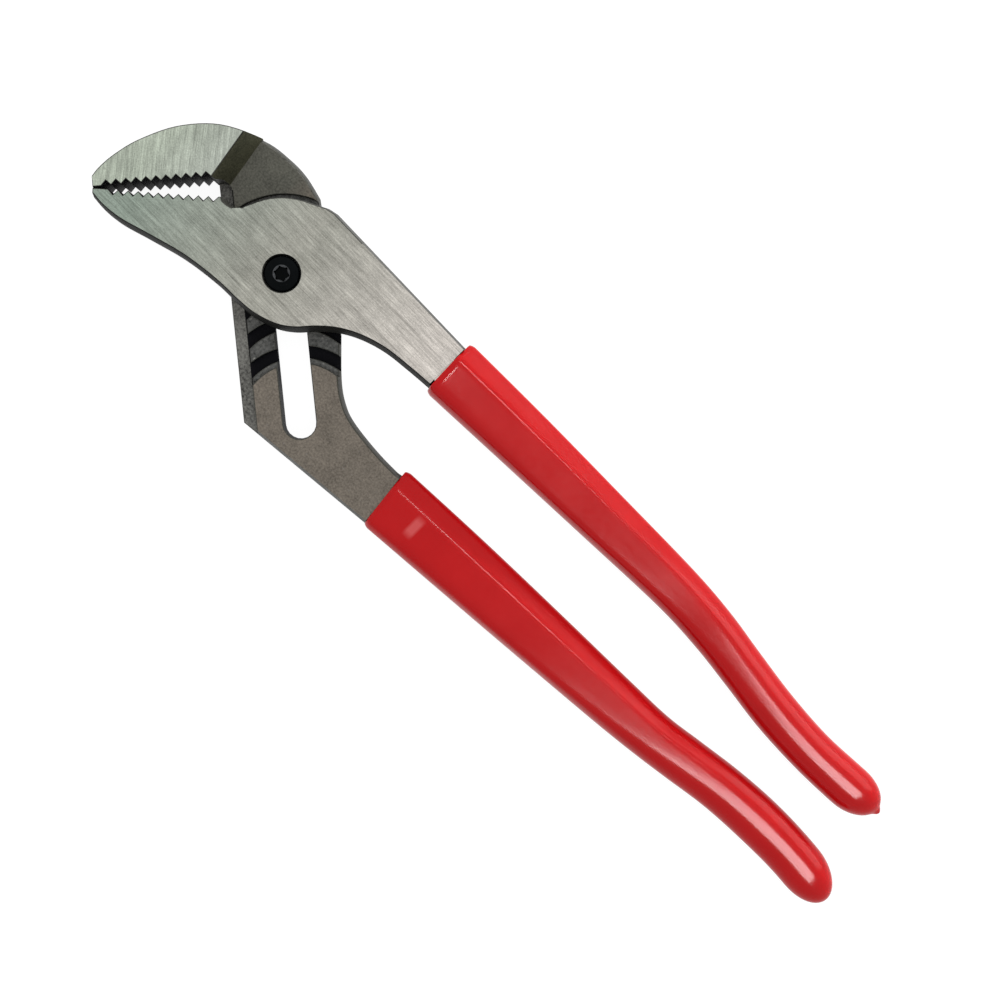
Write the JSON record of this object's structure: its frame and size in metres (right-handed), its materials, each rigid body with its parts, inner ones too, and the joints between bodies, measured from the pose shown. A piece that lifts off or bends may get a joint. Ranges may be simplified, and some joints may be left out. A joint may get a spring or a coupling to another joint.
{
  "type": "water pump pliers",
  "caption": "Adjustable tongue-and-groove pliers with toothed wedge jaws, a slotted lap joint on a flush screw, and dipped vinyl grips.",
  "frame": {"origin": "middle of the tool's outline, on the surface that its back face lies on", "axes": "+X from the jaws to the handle ends, +Z out of the face with the pivot screw, +Y across the handles towards the front lever's one"},
  "size_m": [0.2552, 0.0546, 0.0144],
  "materials": {
    "forged_steel": "forged, brown-grey, fine matt texture",
    "brushed_steel": "belt-ground, fine straight brush lines",
    "black_oxide": "black oxide, satin",
    "red_vinyl": "dipped vinyl, soft gloss"
  },
  "bodies": {
    "rear": {"rear_lever": "forged_steel", "rear_grip": "red_vinyl"},
    "nut": {"pivot_nut": "black_oxide"},
    "screw": {"pivot_screw": "black_oxide"},
    "front": {"front_lever": "brushed_steel", "front_grip": "red_vinyl"}
  },
  "joints": [
    {"name": "groove_slide", "type": "slide", "parent": "rear", "child": "nut", "axis": [0.7757, -0.6311, 0], "range_m": [0, 0.0364]},
    {"name": "screw_turn", "type": "hinge", "parent": "nut", "child": "screw", "pos_m": [-0.0768, 0.00557, 0.0065], "axis": [0, 0, 1], "range_deg": [0, 12]},
    {"name": "handle_hinge", "type": "hinge", "parent": "screw", "child": "front", "pos_m": [-0.0768, 0.00557, 0.0065], "axis": [0, 0, 1], "range_deg": [0, 45]}
  ],
  "couplings": [
    {"joint": "screw_turn", "follows": "groove_slide", "rad_per_m": 5.7535}
  ]
}
